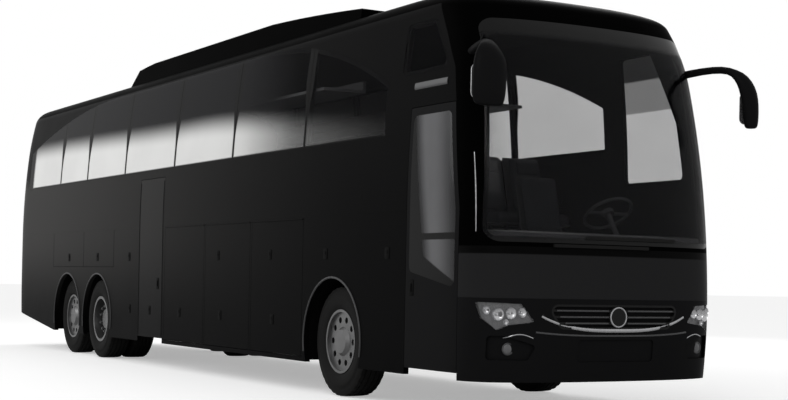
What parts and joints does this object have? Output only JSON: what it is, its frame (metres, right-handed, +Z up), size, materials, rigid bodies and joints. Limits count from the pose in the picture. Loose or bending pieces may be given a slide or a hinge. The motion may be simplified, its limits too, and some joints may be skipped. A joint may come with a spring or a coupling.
{
  "type": "touring coach",
  "caption": "Black high-deck touring coach on three axles, with a front door and a middle door, side luggage flaps, a rear engine lid and horn-shaped mirror arms.",
  "frame": {"origin": "on the ground under the middle of the whole box", "axes": "+Z up, -Y towards the front, +X towards the coach's left"},
  "size_m": [2.96, 14.12, 3.8798],
  "materials": {
    "paint": "high gloss black",
    "windscreen_glass": "clear, faint grey tint",
    "tinted_glass": "dark privacy tint",
    "lamp_lens": "clear lens over bright reflectors",
    "tail_lens": "red moulded lens",
    "bright_trim": "bright trim",
    "floor": "ribbed floor covering",
    "frame_paint": "chassis black, satin",
    "dash": "grained soft plastic",
    "seat_cloth": "woven moquette",
    "lining": "light grey lining",
    "steel": "satin steel",
    "cast": "black cast iron",
    "tyre": "black rubber",
    "rim_steel": "silver painted steel"
  },
  "bodies": {
    "coach": {"roof": "paint", "roof_fairing": "paint", "front_dome": "paint", "front_panel": "paint", "front_bumper": "paint", "rear_panel": "paint", "rear_bumper": "paint", "windscreen": "windscreen_glass", "rear_window": "tinted_glass", "headlamps": "lamp_lens", "tail_lamps": "tail_lens", "grille": "bright_trim", "floor_deck": "floor", "underframe": "frame_paint", "dashboard": "dash", "steering_wheel": "dash", "driver_seat": "seat_cloth", "luggage_racks": "lining", "mirror_arms": "paint", "wipers": "dash", "front_axle": "cast", "drive_axle": "cast", "tag_axle": "cast", "engine_block": "cast", "side_lower_right": "paint", "side_upper_right": "paint", "side_glass_right": "tinted_glass", "seats_right": "seat_cloth", "side_lower_left": "paint", "side_upper_left": "paint", "side_glass_left": "tinted_glass", "seats_left": "seat_cloth"},
    "knuckle_right": {"knuckle_right": "cast"},
    "front_wheel_right": {"front_tyre_right": "tyre", "front_rim_right": "rim_steel"},
    "drive_wheel_right": {"drive_tyres_right": "tyre", "drive_rims_right": "rim_steel"},
    "tag_wheel_right": {"tag_tyre_right": "tyre", "tag_rim_right": "rim_steel"},
    "flap_1_right": {"luggage_flap_1_right": "paint"},
    "flap_2_right": {"luggage_flap_2_right": "paint"},
    "flap_3_right": {"luggage_flap_3_right": "paint"},
    "knuckle_left": {"knuckle_left": "cast"},
    "front_wheel_left": {"front_tyre_left": "tyre", "front_rim_left": "rim_steel"},
    "drive_wheel_left": {"drive_tyres_left": "tyre", "drive_rims_left": "rim_steel"},
    "tag_wheel_left": {"tag_tyre_left": "tyre", "tag_rim_left": "rim_steel"},
    "flap_1_left": {"luggage_flap_1_left": "paint"},
    "flap_2_left": {"luggage_flap_2_left": "paint"},
    "flap_3_left": {"luggage_flap_3_left": "paint"},
    "front_arms": {"front_door_arms": "steel"},
    "front_leaf": {"front_door": "paint", "front_door_glass": "tinted_glass"},
    "mid_arms": {"mid_door_arms": "steel"},
    "mid_leaf": {"mid_door": "paint"},
    "lid": {"engine_lid": "paint"}
  },
  "joints": [
    {"name": "steer_right", "type": "hinge", "parent": "coach", "child": "knuckle_right", "pos_m": [-0.9, -4.17, 0.522], "axis": [0, 0, 1], "range_deg": [-46, 46]},
    {"name": "front_wheel_turn_right", "type": "hinge", "parent": "knuckle_right", "child": "front_wheel_right", "pos_m": [-1.05, -4.17, 0.522], "axis": [1, 0, 0], "continuous": true},
    {"name": "drive_wheel_turn_right", "type": "hinge", "parent": "coach", "child": "drive_wheel_right", "pos_m": [-1.09, 2.95, 0.522], "axis": [1, 0, 0], "continuous": true},
    {"name": "tag_wheel_turn_right", "type": "hinge", "parent": "coach", "child": "tag_wheel_right", "pos_m": [-1.05, 4.3, 0.522], "axis": [1, 0, 0], "continuous": true},
    {"name": "flap_hinge_1_right", "type": "hinge", "parent": "coach", "child": "flap_1_right", "pos_m": [-1.277, -2.8767, 1.696], "axis": [0, -1, 0], "range_deg": [-95, 0]},
    {"name": "flap_hinge_2_right", "type": "hinge", "parent": "coach", "child": "flap_2_right", "pos_m": [-1.277, -1.57, 1.696], "axis": [0, -1, 0], "range_deg": [-95, 0]},
    {"name": "flap_hinge_3_right", "type": "hinge", "parent": "coach", "child": "flap_3_right", "pos_m": [-1.277, -0.2633, 1.696], "axis": [0, -1, 0], "range_deg": [-95, 0]},
    {"name": "steer_left", "type": "hinge", "parent": "coach", "child": "knuckle_left", "pos_m": [0.9, -4.17, 0.522], "axis": [0, 0, 1], "range_deg": [-46, 46]},
    {"name": "front_wheel_turn_left", "type": "hinge", "parent": "knuckle_left", "child": "front_wheel_left", "pos_m": [1.05, -4.17, 0.522], "axis": [1, 0, 0], "continuous": true},
    {"name": "drive_wheel_turn_left", "type": "hinge", "parent": "coach", "child": "drive_wheel_left", "pos_m": [1.09, 2.95, 0.522], "axis": [1, 0, 0], "continuous": true},
    {"name": "tag_wheel_turn_left", "type": "hinge", "parent": "coach", "child": "tag_wheel_left", "pos_m": [1.05, 4.3, 0.522], "axis": [1, 0, 0], "continuous": true},
    {"name": "flap_hinge_1_left", "type": "hinge", "parent": "coach", "child": "flap_1_left", "pos_m": [1.277, -2.8767, 1.696], "axis": [0, 1, 0], "range_deg": [-95, 0]},
    {"name": "flap_hinge_2_left", "type": "hinge", "parent": "coach", "child": "flap_2_left", "pos_m": [1.277, -1.57, 1.696], "axis": [0, 1, 0], "range_deg": [-95, 0]},
    {"name": "flap_hinge_3_left", "type": "hinge", "parent": "coach", "child": "flap_3_left", "pos_m": [1.277, -0.2633, 1.696], "axis": [0, 1, 0], "range_deg": [-95, 0]},
    {"name": "front_door_swing", "type": "hinge", "parent": "coach", "child": "front_arms", "pos_m": [-1.145, -6.415, 1.3], "axis": [0, 0, 1], "range_deg": [0, 124.63]},
    {"name": "front_leaf_turn", "type": "hinge", "parent": "front_arms", "child": "front_leaf", "pos_m": [-1.145, -5.9775, 1.3], "axis": [0, 0, 1], "range_deg": [-124.63, 0]},
    {"name": "mid_door_swing", "type": "hinge", "parent": "coach", "child": "mid_arms", "pos_m": [-1.145, 0.47, 1.3], "axis": [0, 0, 1], "range_deg": [0, 125.1]},
    {"name": "mid_leaf_turn", "type": "hinge", "parent": "mid_arms", "child": "mid_leaf", "pos_m": [-1.145, 0.91, 1.3], "axis": [0, 0, 1], "range_deg": [-125.1, 0]},
    {"name": "lid_hinge", "type": "hinge", "parent": "coach", "child": "lid", "pos_m": [0, 7.04413, 1.896], "axis": [1, 0, 0], "range_deg": [0, 80]}
  ],
  "couplings": [
    {"joint": "steer_left", "follows": "steer_right", "ratio": 1},
    {"joint": "front_leaf_turn", "follows": "front_door_swing", "ratio": -1},
    {"joint": "mid_leaf_turn", "follows": "mid_door_swing", "ratio": -1}
  ]
}
